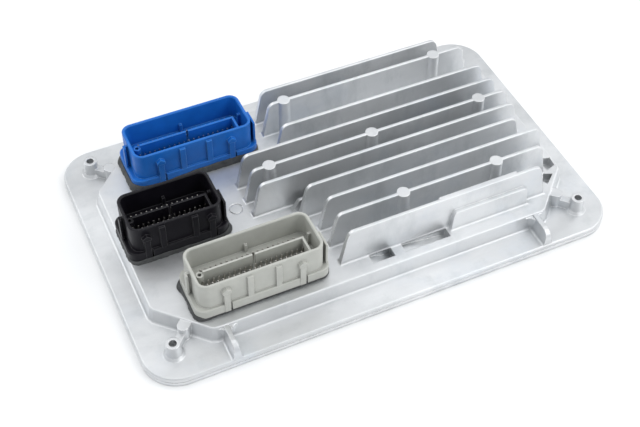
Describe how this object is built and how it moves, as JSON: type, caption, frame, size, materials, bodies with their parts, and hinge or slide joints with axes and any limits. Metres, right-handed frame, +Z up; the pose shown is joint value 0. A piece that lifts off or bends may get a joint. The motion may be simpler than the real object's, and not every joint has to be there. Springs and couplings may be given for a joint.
{
  "type": "engine control unit",
  "caption": "Engine control unit: finned die-cast aluminium housing with corner bosses, flat base cover and blue, black and grey harness connectors",
  "frame": {"origin": "centre of the underside of the base cover", "axes": "+X along the long side away from the connectors, +Y away from the viewer, +Z up through the fins and the connector mouths"},
  "size_m": [0.24, 0.151, 0.034],
  "materials": {
    "cast": "die-cast, fine blasted grain",
    "cover": "rolled sheet, matt",
    "sealant": "cured silicone, dark grey",
    "steel": "zinc plated",
    "blue_plastic": "glass-filled moulding, satin",
    "black_plastic": "glass-filled moulding, satin",
    "grey_plastic": "glass-filled moulding, satin",
    "pin_metal": "tin plated",
    "laminate": "solder mask",
    "pad": "soft silicone",
    "package": "moulded package",
    "can": "drawn can",
    "ferrite": "pressed powder",
    "ceramic": "fired ceramic"
  },
  "bodies": {
    "root": {"housing": "cast", "base_cover": "cover", "perimeter_seal": "sealant", "cover_screws": "steel", "blue_connector": "blue_plastic", "black_connector": "black_plastic", "grey_connector": "grey_plastic", "blue_pins": "pin_metal", "black_pins": "pin_metal", "grey_pins": "pin_metal", "blue_bead": "sealant", "black_bead": "sealant", "grey_bead": "sealant", "circuit_board": "laminate", "board_screws": "steel", "thermal_pads": "pad", "microcontroller": "package", "flash_memory": "package", "driver_chips": "package", "power_transistors": "package", "voltage_regulator": "package", "electrolytic_capacitors": "can", "power_inductors": "ferrite", "crystal": "steel", "pressure_sensor": "package", "bus_transceivers": "package", "suppressor_diodes": "package", "ceramic_capacitors": "ceramic"}
  },
  "joints": []
}
